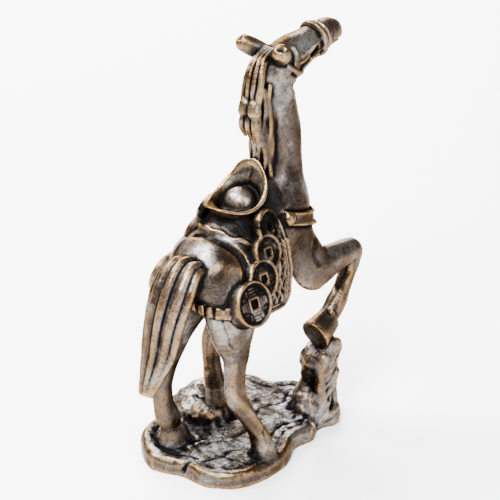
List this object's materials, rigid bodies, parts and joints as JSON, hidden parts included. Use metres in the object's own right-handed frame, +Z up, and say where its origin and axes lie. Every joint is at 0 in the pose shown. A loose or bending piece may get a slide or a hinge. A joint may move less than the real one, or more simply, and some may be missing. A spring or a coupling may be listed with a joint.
{
  "type": "brass horse statuette",
  "caption": "Cast brass statuette of a rearing horse on a lobed rock plate, with a boat-shaped ingot saddle, coin strings on its flanks and a hoof on a rock pillar.",
  "frame": {"origin": "on the flat underside of the plate, in the horse's median plane", "axes": "+X the way the horse faces, +Y the horse's left, +Z up"},
  "size_m": [0.0472, 0.0287, 0.073],
  "materials": {
    "aged_brass": "satin cast brass, near-black patina in the recesses, golden on worn edges"
  },
  "bodies": {
    "root": {"horse_statuette": "aged_brass"}
  },
  "joints": []
}
